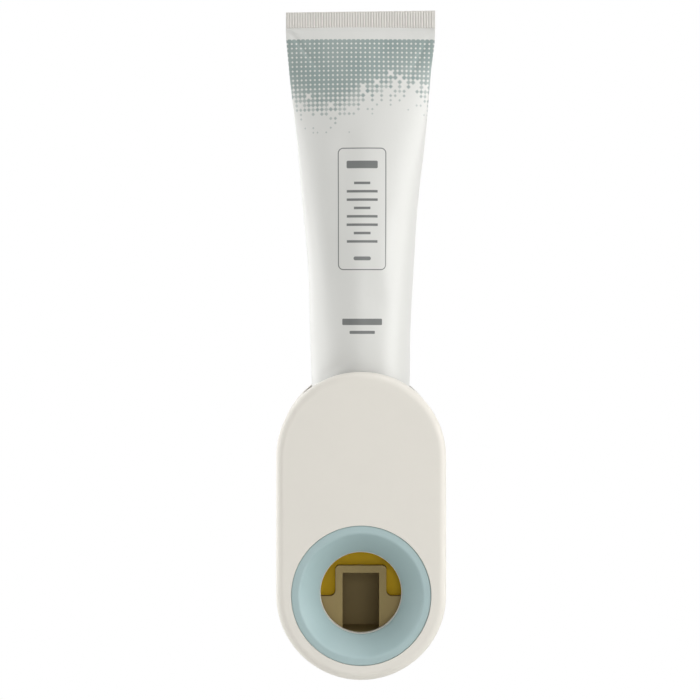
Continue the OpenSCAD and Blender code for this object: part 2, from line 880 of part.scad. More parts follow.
// Yoke: two legs through the shelf, two arms and a bar in front of the bulb
module squeeze_yoke() {
    leg_low = ceiling_z - foot_h;
    color("#d4cdbb")
        difference() {
            union() {
                both_sides() {
                    translate([yoke_x, depth_y(leg_v0), leg_low])
                        cube([yoke_t, leg_v1 - leg_v0, yoke_z + yoke_h - leg_low]);
                    translate([yoke_x, depth_y(yoke_v0), yoke_z])
                        cube([yoke_t, leg_v1 - yoke_v0, yoke_h]);
                }
                translate([-yoke_x - yoke_t, depth_y(yoke_v0), yoke_z])
                    cube([2 * (yoke_x + yoke_t), yoke_t, yoke_h]);
                intersection() {
                    translate([0, tube_y - bulb_r - slide_gap - yoke_nose_r, yoke_z])
                        cylinder(r = yoke_nose_r, h = yoke_h);
                    translate([-yoke_x, depth_y(yoke_v0), yoke_z])
                        cube([2 * yoke_x, tube_v, yoke_h]);
                }
            }
            each_yoke_screw() screw_hole(seat_gap, yoke_t + cut);
        }
}

module yoke_screws() {
    color("#b9bcbe") each_yoke_screw() screw(yoke_screw_len);
}

// Funnel ring: a flat band round a conical funnel
module ring_section() {
    r = ring_band_r;
    end = funnel_d + ring_lip;
    heel = r + ring_heel_in;
    back = rim_h + rim_sink;
    polygon(concat(
        [[ring_r, back]],
        bend(
            [ring_r, rim_sink + ring_edge], [ring_r, rim_sink],
            [ring_r - ring_edge, rim_sink + ring_edge * band_slope], 3
        ),
        bend(
            [r + ring_crest, funnel_v0 - ring_crest * band_slope], [r, funnel_v0],
            [r - ring_crest, funnel_v0 + ring_crest * funnel_slope], 4
        ),
        bend(
            [mouth_r + ring_foot, funnel_d - ring_foot * funnel_slope], [mouth_r, funnel_d],
            [mouth_r, end - ring_edge], 4
        ),
        [[mouth_r + ring_edge, end], [ring_foot_r, end]],
        [[heel, max(end - (heel - ring_foot_r) * funnel_slope, back)], [r + ring_heel, back]]
    ));
}

module funnel_ring() {
    color("#a9bfc3") turned_on_mouth() ring_section();
}

// Front cover with the conical seat of the funnel ring and the push-fit lip
module seat_section() {
    r = ring_band_r;
    wall = seat_t * funnel_slant;
    hole = ring_r + ring_gap;
    shelf = rim_h + rim_sink + seat_gap;
    bore = mouth_r - collar_in;
    heel = r + ring_heel_in;
    heel_v = max(seat_end - (heel - ring_foot_r) * funnel_slope, shelf);
    collar = seat_end + collar_t;
    polygon([
        [hole, seat_root], [hole, shelf], [r + ring_heel, shelf], [heel, heel_v],
        [ring_foot_r, seat_end], [bore, seat_end], [bore, collar], [bore + collar_wall, collar],
        [heel + seat_t, heel_v + wall], [hole + seat_rim_t, heel_v + wall],
        [hole + seat_rim_t, seat_root]
    ]);
}

module lip_section() {
    translate([lip_r - lip_t, cover_end - lip_root]) square([lip_t, lip_root + lip_h]);
    translate([lip_r - lip_t, cover_end - lip_root])
        square([inner_r - lip_r + lip_t + cut, lip_root]);
}

module front_cover() {
    color("#dcd8d0")
        difference() {
            union() {
                difference() {
                    stadium_sweep() rounded_front(body_r, 0, cover_end, edge_r);
                    stadium_sweep()
                        rounded_front(inner_r, shell_t, cover_end + cut, edge_r - shell_t);
                    turned_on_mouth()
                        translate([0, -cut]) square([ring_r + ring_gap, shell_t + 2 * cut]);
                }
                turned_on_mouth() seat_section();
                stadium_sweep() lip_section();
            }
            tube_opening();
        }
}

// Toothpaste tube: moulded head, and a soft body that flattens to a crimped tail
function head_inside(r) = shoulder_z + shoulder_slope * (r - shoulder_r) + head_wall * head_slant;

module tube_head() {
    color("#f2f2ee")
        turned_on_tube()
            polygon([
                [head_bore, neck_end], [neck_r - 0.4, neck_end], [neck_r, neck_end + 0.4],
                [neck_r, shoulder_z - 0.5], [shoulder_r, shoulder_z], [tube_r, rim_z],
                [tube_r, rim_z + rim_t], [tube_r - head_wall, rim_z + rim_t],
                [tube_r - head_wall, head_inside(tube_r - head_wall)],
                [head_bore, head_inside(head_bore)]
            ]);
}

module tube_body() {
    body_len = tube_len - crimp_h;
    half_t = crimp_t / 2;
    fill_r = tube_r - head_wall - seat_gap;
    fill_low = head_bore + 0.6;
    rings = concat(
        [
            [fill_low, fill_low, head_inside(fill_low) + seat_gap],
            [fill_r, fill_r, head_inside(fill_r) + seat_gap],
            [fill_r, fill_r, rim_z + rim_t]
        ],
        [
            for (k = [0:tube_rings])
                let (
                    s = k / tube_rings,
                    b = max(half_t, tube_r * (1 - early_fall * s - (1 - early_fall) * pow(s, 3))),
                    a = half_width(b, tube_r - 0.5, flat_half_w)
                )
                [a, b, rim_z + rim_t + seat_gap + s * (body_len - rim_t - seat_gap)]
        ],
        [[flat_half_w, half_t, rim_z + tube_len]]
    );
    points = [
        for (ring = rings)
            for (i = [0:tube_sides - 1])
                let (angle = 360 * i / tube_sides)
                [ring[0] * cos(angle), tube_y + ring[1] * sin(angle), ring[2]]
    ];
    color("#e6e7e4") polyhedron(points, skin_faces(len(rings), tube_sides), convexity = 4);
}

adhesive_pad();
wall_plate();
rear_housing();
housing_screws();
pump_frame();
guide_disc();
disc_screws();
neck_sleeve();
sleeve_ring();
inlet_valve();
pump_bulb();
bulb_clamp();
outlet_nozzle();
nozzle_clamp();
return_springs();
push_carriage();
squeeze_yoke();
yoke_screws();
guide_pins();
front_cover();
funnel_ring();
tube_head();
tube_body();
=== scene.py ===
import json
import math

import bpy
import numpy as np
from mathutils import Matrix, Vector


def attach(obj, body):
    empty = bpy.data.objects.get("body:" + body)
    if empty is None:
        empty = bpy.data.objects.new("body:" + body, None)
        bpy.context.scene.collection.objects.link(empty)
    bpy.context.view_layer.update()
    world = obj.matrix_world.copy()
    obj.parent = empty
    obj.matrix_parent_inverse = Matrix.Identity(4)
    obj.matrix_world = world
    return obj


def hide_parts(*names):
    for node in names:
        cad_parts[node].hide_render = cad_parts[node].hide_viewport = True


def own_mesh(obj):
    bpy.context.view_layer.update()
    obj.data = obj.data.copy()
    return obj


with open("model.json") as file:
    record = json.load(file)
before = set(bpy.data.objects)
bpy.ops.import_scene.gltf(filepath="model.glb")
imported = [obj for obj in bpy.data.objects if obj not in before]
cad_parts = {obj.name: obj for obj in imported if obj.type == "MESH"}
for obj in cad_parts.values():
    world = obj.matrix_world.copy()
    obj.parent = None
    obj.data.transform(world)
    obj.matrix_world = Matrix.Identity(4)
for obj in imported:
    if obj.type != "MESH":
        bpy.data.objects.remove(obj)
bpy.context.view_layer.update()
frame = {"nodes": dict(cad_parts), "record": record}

MM = 0.001
FRONT_Y = -60.8
TUBE_Y = -32.8
MOUTH_Z = -26.75


# Surfaces

def ring_quads(rows, cols, closed_rows=False):
    """Quads between neighbouring rows of a grid whose rows are closed rings; the last row may
    meet the first."""
    i = np.arange(rows if closed_rows else rows - 1)[:, None]
    j = np.arange(cols)[None, :]
    up = (i + 1) % rows
    on = (j + 1) % cols
    return np.stack([i * cols + j, i * cols + on, up * cols + on, up * cols + j], -1).reshape(-1, 4)


def end_fans(rows, cols, first, last):
    """Triangles that close the first and the last ring of a grid onto one centre point each."""
    j = np.arange(cols)
    on = (j + 1) % cols
    top = (rows - 1) * cols
    low = np.stack([np.full(cols, first), on, j], -1)
    high = np.stack([np.full(cols, last), top + j, top + on], -1)
    return np.concatenate([low, high])


def make_piece(name, points, faces, uv=None, sharp=35):
    """A piece from points in millimetres in the row frame and its faces, smooth but for edges
    sharper than the given angle."""
    mesh = bpy.data.meshes.new(name)
    mesh.from_pydata((points * MM).tolist(), [], faces)
    mesh.shade_smooth()
    mesh.set_sharp_from_angle(angle=math.radians(sharp))
    if uv is not None:
        mesh.uv_layers.new(name="print").data.foreach_set("uv", uv.astype(np.float32).ravel())
    piece = bpy.data.objects.new(name, mesh)
    bpy.context.scene.collection.objects.link(piece)
    return piece


def turned_piece(name, profile, cols):
    """A closed profile of radius and height carried round the tube's axis: each row is the
    circle of one profile point, and the last row meets the first."""
    turn = np.linspace(0, 2 * math.pi, cols, endpoint=False)
    r, z = profile[:, 0][:, None], profile[:, 1][:, None]
    grid = np.stack([r * np.cos(turn), TUBE_Y + r * np.sin(turn), z + 0 * turn], -1)
    faces = ring_quads(len(profile), cols, True)
    return make_piece(name, grid.reshape(-1, 3), faces.tolist())


def coil_rod(path, radius, sides):
    """Points and faces of a round wire along a coil about the depth axis: at each path point a
    circle square to the path, whose first direction points away from the coil's axis."""
    step = np.gradient(path, axis=0)
    along = step / np.linalg.norm(step, axis=1, keepdims=True)
    out = path - np.array([path[:, 0].mean(), 0, path[:, 2].mean()])
    out[:, 1] = 0
    out -= along * (out * along).sum(1, keepdims=True)
    out /= np.linalg.norm(out, axis=1, keepdims=True)
    side = np.cross(along, out)
    turn = np.linspace(0, 2 * math.pi, sides, endpoint=False)[None, :, None]
    grid = path[:, None] + radius * (np.cos(turn) * out[:, None] + np.sin(turn) * side[:, None])
    rows = len(path)
    points = np.concatenate([grid.reshape(-1, 3), path[:1], path[-1:]])
    quads = ring_quads(rows, sides).tolist()
    fans = end_fans(rows, sides, rows * sides, rows * sides + 1).tolist()
    return points, quads + fans


def smooth(x):
    """0 below 0, 1 above 1, and 3x^2 - 2x^3 between."""
    x = np.clip(x, 0, 1)
    return x * x * (3 - 2 * x)


def soft_crease(x, z, start, end, width, depth):
    """The depth of a dent, or the height of a fold, along a line from start to end: it falls
    off as a bell curve of the distance from the line and fades towards the far end."""
    a, b = np.array(start), np.array(end)
    d = b - a
    t = np.clip(((x - a[0]) * d[0] + (z - a[1]) * d[1]) / (d @ d), 0, 1)
    away = np.hypot(x - a[0] - t * d[0], z - a[1] - t * d[1])
    return depth * (1 - 0.75 * t) * np.exp(-(away / width) ** 2)


# Materials

class Recipe:
    """A node material for one finish. Methods add nodes and give back their output sockets."""

    def __init__(self, name):
        self.mat = bpy.data.materials.new(name)
        self.mat.use_nodes = True
        self.tree = self.mat.node_tree
        self.bsdf = self.tree.nodes["Principled BSDF"]

    def node(self, kind, **inputs):
        """A node of that kind with its inputs, given as values or as sockets."""
        made = self.tree.nodes.new(kind)
        for key, value in inputs.items():
            self.feed(made.inputs[key.replace("_", " ")], value)
        return made

    def feed(self, socket, value):
        """Set a socket to a value, or link another socket to it."""
        if isinstance(value, bpy.types.NodeSocket):
            self.tree.links.new(value, socket)
        else:
            socket.default_value = value

    def calc(self, operation, *terms):
        """One arithmetic step on numbers or sockets."""
        made = self.tree.nodes.new("ShaderNodeMath")
        made.operation = operation
        for socket, term in zip(made.inputs, terms):
            self.feed(socket, term)
        return made.outputs[0]

    def step(self, value, low, high, out_low=0.0, out_high=1.0):
        """A soft step from out_low to out_high as the value goes from low to high."""
        made = self.node("ShaderNodeMapRange", Value=value)
        made.interpolation_type = "SMOOTHSTEP"
        for key, number in zip(("From Min", "From Max", "To Min", "To Max"),
                               (low, high, out_low, out_high)):
            made.inputs[key].default_value = number
        return made.outputs["Result"]

    def mix(self, factor, a, b):
        """A colour between a and b."""
        made = self.tree.nodes.new("ShaderNodeMix")
        made.data_type = "RGBA"
        for socket, value in ((made.inputs[0], factor), (made.inputs[6], a), (made.inputs[7], b)):
            if not isinstance(value, bpy.types.NodeSocket) and not isinstance(value, float):
                value = (*value, 1.0)
            self.feed(socket, value)
        return made.outputs[2]

    def place(self, stretch=(1, 1, 1)):
        """Object coordinates, stretched along the axes."""
        where = self.tree.nodes.new("ShaderNodeTexCoord").outputs["Object"]
        return self.node("ShaderNodeMapping", Vector=where, Scale=stretch).outputs[0]

    def noise(self, size_mm, detail=3.0, rough=0.5, where=None):
        """Noise whose blotches are about size_mm across."""
        return self.node(
            "ShaderNodeTexNoise", Vector=where or self.place(), Scale=0.5 / (size_mm * MM),
            Detail=detail, Roughness=rough,
        ).outputs["Fac"]

    def bump(self, height, depth_mm, normal=None):
        """A bump of that height field, depth_mm deep."""
        made = self.node("ShaderNodeBump", Height=height, Distance=depth_mm * MM, Strength=1.0)
        if normal is not None:
            self.tree.links.new(normal, made.inputs["Normal"])
        return made.outputs["Normal"]

    def soft_edges(self, radius_mm):
        """The surface's normal with moulded edges rounded by radius_mm."""
        made = self.node("ShaderNodeBevel", Radius=radius_mm * MM)
        made.samples = 4
        return made.outputs[0]

    def surface(self, **inputs):
        """Values and sockets of the surface itself."""
        for key, value in inputs.items():
            self.feed(self.bsdf.inputs[key.replace("_", " ")], value)
        return self.mat


def srgb(r, g, b):
    """A colour written as on a screen, as the linear colour that a node takes."""
    c = np.array([r, g, b]) / 255
    return tuple(np.where(c <= 0.04045, c / 12.92, ((c + 0.055) / 1.055) ** 2.4).tolist())


def shade(colour, factor):
    """The colour times a factor, up to full."""
    return tuple(min(1.0, c * factor) for c in colour)


def moulded(name, colour, rough=0.45, grain=0.35, depth=0.012, edge=0.3, mottle=0.03, gloss=0.5):
    """Moulded plastic: a fine eroded grain, faint clouds of colour from the flow of the melt,
    a roughness that drifts a little, and soft edges. The grain's size, its depth and the
    radius of the edges are in millimetres."""
    r = Recipe(name)
    cloud = r.noise(14, 4.0)
    fleck = r.noise(0.9, 2.0)
    tone = r.mix(r.step(cloud, 0.3, 0.7), shade(colour, 1 - mottle), shade(colour, 1 + mottle))
    tone = r.mix(r.step(fleck, 0.58, 0.8, 0.0, 0.25), tone, shade(colour, 1 - 2.5 * mottle))
    height = r.calc("ADD", r.noise(grain, 2.0, 0.6), r.calc("MULTIPLY", r.noise(6, 2.0), 0.8))
    normal = r.bump(height, depth, r.soft_edges(edge))
    return r.surface(
        Base_Color=tone, Roughness=r.step(cloud, 0.25, 0.75, rough - 0.04, rough + 0.06),
        Normal=normal, Specular_IOR_Level=gloss,
    )


def silicone(name, colour):
    """Soft translucent rubber: a matt skin with dust-fine grain and light that soaks in."""
    r = Recipe(name)
    cloud = r.noise(5, 3.0)
    tone = r.mix(r.step(cloud, 0.3, 0.7), shade(colour, 0.95), shade(colour, 1.04))
    return r.surface(
        Base_Color=tone, Roughness=r.step(cloud, 0.2, 0.8, 0.42, 0.56),
        Subsurface_Weight=0.15, Subsurface_Radius=(0.004, 0.003, 0.0025),
        Subsurface_Scale=0.5, Sheen_Weight=0.08, Normal=r.bump(r.noise(0.25, 2.0), 0.008),
    )


def drawn_steel(name, colour):
    """Drawn wire and turned screws: metal with fine lines along the depth axis."""
    r = Recipe(name)
    lines = r.noise(0.35, 4.0, 0.7, r.place((1, 0.06, 1)))
    stain = r.noise(3, 3.0)
    tone = r.mix(r.step(stain, 0.35, 0.75), colour, shade(colour, 0.86))
    return r.surface(
        Base_Color=tone, Metallic=1.0, Roughness=r.step(lines, 0.3, 0.7, 0.22, 0.38),
        Normal=r.bump(lines, 0.006),
    )


def foam(name, colour):
    """Closed-cell foam tape: round cells of about half a millimetre, each one painted darker
    towards its middle, where its hollow sinks: painted shade.
    """
    r = Recipe(name)
    cell_mm = 0.55
    cells = r.node("ShaderNodeTexVoronoi", Vector=r.place(), Scale=1 / (cell_mm * MM))
    cells = cells.outputs["Distance"]
    # painted shade: each cell's colour darkens towards its middle, where the bump sinks deepest
    tone = r.mix(r.step(cells, 0.1, 0.6), shade(colour, 0.8), shade(colour, 1.05))
    return r.surface(Base_Color=tone, Roughness=0.9, Normal=r.bump(cells, 0.12))


PAPER_WHITE = srgb(219, 219, 215)
INK = srgb(140, 155, 152)
LINE_INK = srgb(92, 95, 94)


def printed_laminate(name):
    """White laminate with a print on its own UV map in millimetres: u runs round the tube from
    the middle of its front and v down from the crimp. A net of small diamonds shrinks and
    drops out below a slow wave, and a rounded frame holds a few plain bars."""
    r = Recipe(name)
    uv = r.tree.nodes.new("ShaderNodeUVMap")
    uv.uv_map = "print"
    split = r.node("ShaderNodeSeparateXYZ", Vector=uv.outputs[0])
    u, v = split.outputs[0], split.outputs[1]

    # diamonds in a square net, 65 round the tube, with a chance for each; below the wave they
    # shrink, drop out and pale, each over its own stretch in millimetres
    pitch, top, round_count, wave_mm = 1.84, 4.85, 65, 5.0
    shrink, drop_out, grow_pale = (11.0, 36.0), (14.0, 38.0), (8.0, 30.0)
    big, small = 0.73, 0.2
    column = r.calc("ADD", r.calc("DIVIDE", u, pitch), float(round_count))
    row = r.calc("DIVIDE", r.calc("SUBTRACT", v, top), pitch)
    across = r.calc("ABSOLUTE", r.calc("SUBTRACT", r.calc("FRACT", column), 0.5))
    down = r.calc("ABSOLUTE", r.calc("SUBTRACT", r.calc("FRACT", row), 0.5))
    column, row = r.calc("FLOOR", column), r.calc("FLOOR", row)
    cell = r.node("ShaderNodeCombineXYZ", X=column, Y=row)
    chance = r.node("ShaderNodeTexWhiteNoise", Vector=cell.outputs[0]).outputs["Value"]
    wave = r.calc("SINE", r.calc("MULTIPLY", column, 4 * math.pi / round_count))
    fall = r.calc("ADD", r.calc("MULTIPLY", row, pitch), r.calc("MULTIPLY", wave, wave_mm))
    size = r.step(fall, *shrink, big, small)
    inside = r.calc("SUBTRACT", size, r.calc("ADD", across, down))
    kept = r.calc("GREATER_THAN", chance, r.step(fall, *drop_out, -0.02, 1.02))
    dots = r.calc("MULTIPLY", r.step(inside, -0.03, 0.03), kept)
    dots = r.calc("MULTIPLY", dots, r.step(v, top - 0.02, top + 0.06))

    # a rounded frame and plain bars about one middle line; each box is given by its middle
    # down the tube, its half width, its half height and the radius of its corners
    middle, outline_box = 0.5, (73.0, 9.5, 24.0, 2.0)
    bar_boxes = ((55.5, 6.2, 1.5, 0.5), (92.6, 3.4, 0.75, 0.7), (117.5, 8.0, 1.25, 0.4),
                 (121.6, 5.0, 0.6, 0.3))
    middle_u = r.calc("ABSOLUTE", r.calc("SUBTRACT", u, middle))

    def box_distance(mid_v, half_u, half_v, round_r):
        """Distance from a rounded box, below 0 inside."""
        du = r.calc("SUBTRACT", middle_u, half_u - round_r)
        dv = r.calc("ABSOLUTE", r.calc("SUBTRACT", v, mid_v))
        dv = r.calc("SUBTRACT", dv, half_v - round_r)
        out = r.calc("SQRT", r.calc(
            "ADD", r.calc("POWER", r.calc("MAXIMUM", du, 0.0), 2.0),
            r.calc("POWER", r.calc("MAXIMUM", dv, 0.0), 2.0),
        ))
        into = r.calc("MINIMUM", r.calc("MAXIMUM", du, dv), 0.0)
        return r.calc("SUBTRACT", r.calc("ADD", out, into), round_r)

    def bar(*box):
        """1 inside a rounded box, 0 outside."""
        return r.step(box_distance(*box), 0.06, -0.06)

    # a stack of bars, whose lengths vary as a sine does from one to the next
    bars_top, bars_end, bar_pitch = 61.2, 87.6, 3.3
    shortest, longer_by, sine_step = 3.2, 3.4, 2.1
    line = r.calc("DIVIDE", r.calc("SUBTRACT", v, bars_top), bar_pitch)
    from_line = r.calc("ABSOLUTE", r.calc("SUBTRACT", r.calc("FRACT", line), 0.5))
    swing = r.calc("SINE", r.calc("MULTIPLY", r.calc("FLOOR", line), sine_step))
    length = r.calc("MULTIPLY", r.calc("ABSOLUTE", swing), longer_by)
    length = r.calc("ADD", length, shortest)
    bars = r.calc("MULTIPLY", r.step(from_line, 0.17, 0.13),
                  r.step(r.calc("SUBTRACT", middle_u, length), 0.06, -0.06))
    bars = r.calc("MULTIPLY", bars, r.step(v, bars_top - 0.1, bars_top + 0.1))
    marks = r.calc("MULTIPLY", bars, r.step(v, bars_end + 0.1, bars_end - 0.1))
    outline = r.calc("ABSOLUTE", box_distance(*outline_box))
    marks = r.calc("MAXIMUM", marks, r.step(outline, 0.26, 0.14))
    for box in bar_boxes:
        marks = r.calc("MAXIMUM", marks, bar(*box))

    cloud = r.noise(20, 3.0)
    paper = r.mix(r.step(cloud, 0.3, 0.7), shade(PAPER_WHITE, 0.97), PAPER_WHITE)
    worn = r.calc("MULTIPLY", chance, r.step(fall, *grow_pale))
    blotch = r.calc("MULTIPLY", r.step(r.noise(5, 2.0), 0.3, 0.7, 0.9, 1.0),
                    r.step(worn, 0.0, 1.0, 1.0, 0.5))
    tone = r.mix(r.calc("MULTIPLY", dots, blotch), paper, INK)
    tone = r.mix(r.calc("MULTIPLY", marks, 0.92), tone, LINE_INK)
    wrinkle = r.calc("ADD", r.noise(9, 4.0, 0.55), r.calc("MULTIPLY", r.noise(1.4, 2.0), 0.08))
    ink_film = r.calc("MULTIPLY", r.calc("MAXIMUM", dots, marks), 0.03)
    return r.surface(
        Base_Color=tone, Roughness=r.step(cloud, 0.2, 0.8, 0.34, 0.44),
        Normal=r.bump(r.calc("ADD", wrinkle, ink_film), 0.22), Coat_Weight=0.15,
        Coat_Roughness=0.3,
    )


def plain_laminate(name):
    """The crimped tail: the same white laminate, a little warmer where heat pressed it."""
    r = Recipe(name)
    cloud = r.noise(9, 3.0)
    warm = srgb(215, 212, 206)
    return r.surface(
        Base_Color=r.mix(r.step(cloud, 0.3, 0.7), shade(warm, 0.96), warm),
        Roughness=r.step(cloud, 0.2, 0.8, 0.38, 0.5), Normal=r.bump(r.noise(1.2, 3.0), 0.03),
    )


FINISHES = {
    "pad_foam": foam("foam_pad", srgb(206, 208, 204)),
    "bracket_plastic": moulded("bracket_white", srgb(226, 225, 219), rough=0.5),
    "cover_plastic": moulded(
        "cover_ivory", srgb(230, 226, 217), rough=0.42, grain=0.3, depth=0.008, edge=0.25,
        mottle=0.012),
    "housing_plastic": moulded(
        "housing_ivory", srgb(231, 227, 219), rough=0.46, grain=0.4, depth=0.014, mottle=0.015),
    "ring_plastic": moulded(
        "ring_blue_grey", srgb(169, 191, 192), rough=0.38, grain=0.25, depth=0.005, edge=0.2,
        mottle=0.015, gloss=0.45),
    "frame_plastic": moulded(
        "frame_white", srgb(219, 216, 208), rough=0.5, grain=0.5, depth=0.016),
    "disc_plastic": moulded(
        "disc_ochre", srgb(208, 170, 22), rough=0.55, grain=0.4, depth=0.014, edge=0.12,
        gloss=0.15),
    "carriage_plastic": moulded(
        "carriage_tan", srgb(156, 137, 92), rough=0.55, grain=0.4, depth=0.014, edge=0.12,
        gloss=0.2),
    "yoke_plastic": moulded(
        "yoke_sand", srgb(212, 205, 187), rough=0.5, grain=0.4, depth=0.014),
    "silicone": silicone("silicone_soft", srgb(226, 224, 216)),
    "clip_plastic": moulded("clip_grey", srgb(195, 198, 196)),
    "steel": drawn_steel("steel_drawn", srgb(198, 200, 202)),
    "tube_laminate": plain_laminate("laminate_plain"),
    "tube_head_plastic": moulded(
        "tube_head_white", srgb(238, 238, 234), rough=0.36, grain=0.6, depth=0.008, edge=0.25),
}
PRINT = printed_laminate("laminate_printed")


def dress(piece, body, slot, finish=None, instead_of=()):
    """The piece rides on its body, takes its slot's finish or one of its own, and stands for
    the CAD nodes named."""
    piece.data.materials.append(finish or FINISHES[slot])
    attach(piece, body)
    if instead_of:
        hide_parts(*instead_of)
    return piece


for part in frame["record"]["subparts"]:
    node = frame["nodes"][part["node"]]
    for k in range(len(node.material_slots)):
        node.material_slots[k].material = FINISHES[part["material_slot"]]


# Toothpaste tube

TUBE_R = 19.0
HALF_ROUND = math.pi * TUBE_R
RIM_Z = 40.95
CRIMP_Z = 196.64
TAIL_Z = 203.24


def half_width(half_t):
    """Half width of an ellipse with this half thickness whose perimeter stays that of the
    round tube, by halving the interval on Ramanujan's formula."""
    low, high = np.full_like(half_t, TUBE_R - 1), np.full_like(half_t, HALF_ROUND / 2 + 0.05)
    for _ in range(40):
        mid = (low + high) / 2
        h = ((mid - half_t) / (mid + half_t)) ** 2
        long = math.pi * (mid + half_t) * (1 + 3 * h / (10 + np.sqrt(4 - 3 * h))) > 2 * HALF_ROUND
        low, high = np.where(long, low, mid), np.where(long, mid, high)
    return (low + high) / 2


# each line's start and end, across and up, then its half width and its depth, in millimetres
FRONT_DENTS = [
    ((-29, 196), (-14, 176), 1.1, 0.8),
    ((29, 196), (17, 172), 1.2, 0.6),
    ((-20, 195), (-19, 182), 2.2, 0.35),
    ((10, 195), (8, 178), 3.5, 0.5),
    ((-6, 150), (-9, 84), 6.0, 1.0),
    ((-14, 58), (-4, 66), 2.2, 0.5),
    ((6, 88), (9, 74), 4.5, 0.45),
    ((15, 118), (13, 96), 3.5, 0.4),
]
BACK_DENTS = [
    ((28, 196), (12, 174), 1.2, 0.8),
    ((-28, 196), (-15, 178), 1.2, 0.6),
    ((4, 156), (2, 92), 7.0, 1.1),
    ((-10, 74), (-12, 60), 4.0, 0.4),
]
FRONT_FOLDS = [
    ((-29.8, 196.4), (-24.0, 193.9), 0.8, 0.45),
    ((29.6, 196.3), (26.5, 192.6), 1.0, 0.3),
]


def tube_skin():
    """The soft body, ring over ring from the moulded head to the crimp. With s from 0 at the
    head to 1 at the crimp, the half thickness is b = r(1 - 0.2s - 0.8s^3), the half width a
    keeps the perimeter, and the section goes from an ellipse most of the way to a lens,
    y = b(1 - x^2/a^2). Dents push the skin inwards, and two folds stand up from the front
    under the crimp's corners."""
    cols, thinnest = 288, 0.5
    height = np.concatenate([[0.0], np.linspace(0.004, 0.9, 150), np.linspace(0.905, 1, 46)])
    rows = len(height)
    s = height[:, None]
    turn = math.pi / 2 + np.linspace(0, 2 * math.pi, cols, endpoint=False)[None, :]
    b = np.maximum(TUBE_R * (1 - 0.2 * s - 0.8 * s ** 3), thinnest)
    a = half_width(b[:, 0])[:, None]
    lens = 0.75 * smooth((s - 0.45) / 0.5)
    across, depth = np.cos(turn), np.sin(turn)
    bulge = (1 - lens) * np.abs(depth) + lens * depth ** 2
    x = a * across
    z = RIM_Z + s * (CRIMP_Z - RIM_Z) + 0 * turn
    side = np.sign(depth) * smooth(np.abs(depth) / 0.15)
    y = b * bulge * np.sign(depth)
    # dents go where the skin is free of the head and the crimp, folds up to the crimp
    front, back, folds = (
        sum(soft_crease(x, z, *line) for line in lines)
        for lines in (FRONT_DENTS, BACK_DENTS, FRONT_FOLDS)
    )
    room = np.minimum(1, b / 3) * smooth((s - 0.01) / 0.05)
    y -= side * room * np.where(depth < 0, front, back)
    y += side * np.where(depth < 0, folds, 0) * smooth((1 - s) / 0.004)
    # a slow unevenness of the hand-pressed skin, in millimetres
    drift = 0.32 * np.sin(7.3 * s + 1.1) * np.cos(2 * turn + 3 * s)
    drift += 0.18 * np.sin(19 * s + 0.6) * np.sin(3 * turn + 2)
    drift *= smooth((s - 0.02) / 0.1) * smooth((0.98 - s) / 0.1)
    mean_r = 24
    x = x * (1 + drift / mean_r)
    y = y * (1 + drift / mean_r)
    ring = np.stack([x, y, z], -1)
    # arc length round each ring, from the middle of the front
    to_next = np.linalg.norm(np.roll(ring, -1, 1) - ring, axis=-1)
    arc_length = np.concatenate([np.zeros((rows, 1)), np.cumsum(to_next, 1)], 1)
    arc_length -= arc_length[:, cols // 2][:, None]
    down = np.concatenate([CRIMP_Z - z, CRIMP_Z - z[:, :1]], 1)
    print_uv = np.stack([arc_length, down], -1)
    ring[..., 1] += TUBE_Y
    quads = ring_quads(rows, cols)
    i, j = np.arange(rows - 1)[:, None], np.arange(cols)[None, :]
    corner_uv = np.stack([
        print_uv[i, j], print_uv[i, j + 1], print_uv[i + 1, j + 1], print_uv[i + 1, j]
    ], 2).reshape(-1, 2)
    ends = np.array([[0, TUBE_Y, RIM_Z], [0, TUBE_Y, CRIMP_Z]])
    fans = end_fans(rows, cols, rows * cols, rows * cols + 1)
    unprinted = np.full((len(fans) * 3, 2), 300.0)
    return make_piece(
        "tube_skin", np.concatenate([ring.reshape(-1, 3), ends]), quads.tolist() + fans.tolist(),
        np.concatenate([corner_uv, unprinted]), 50,
    )


def tube_crimp():
    """The pressed tail: a flat band with upright ribs, half thickness 0.3 mm at its foot, then
    0.35 mm plus up to 0.24 mm of a sine wave of 1.05 mm pitch that fades at the band's edges
    and ends. The band sways a little, and its top is cut aslant."""
    cols, pitch, foot_t, step_t, rib = 380, 1.05, 0.3, 0.05, 0.24
    overlap, top_drop, slant, sway_by = 0.35, 0.3, 0.42, 0.25
    half_w = HALF_ROUND / 2 - 0.05
    along = np.linspace(-half_w, half_w, cols)
    level = np.concatenate([
        [0, 0.012, 0.03, 0.05], np.linspace(0.07, 0.93, 14), [0.95, 0.97, 0.988, 1]
    ])[:, None]
    z_low, z_high = CRIMP_Z - overlap, TAIL_Z - top_drop + slant * along / half_w
    z = z_low + level * (z_high - z_low)
    fade = smooth((half_w - np.abs(along)) / 0.7) * smooth(level / 0.05)
    fade = fade * smooth((1 - level) / 0.05)
    wave = 0.5 + 0.5 * np.sin(2 * math.pi * along / pitch)
    sway = sway_by * np.sin(along / 17 + 0.4) * level
    half_t = foot_t + step_t * smooth(level / 0.02) + rib * fade * wave
    x = along + 0 * level
    front = np.stack([x, TUBE_Y + sway - half_t, z], -1)
    back = np.stack([x, TUBE_Y + sway + half_t, z], -1)[:, ::-1]
    ring = np.concatenate([front, back], 1)
    rows, round_cols = ring.shape[:2]
    points = np.concatenate([ring.reshape(-1, 3), ring[0].mean(0)[None], ring[-1].mean(0)[None]])
    quads = ring_quads(rows, round_cols).tolist()
    fans = end_fans(rows, round_cols, rows * round_cols, rows * round_cols + 1).tolist()
    return make_piece("tube_crimp", points, quads + fans, None, 60)


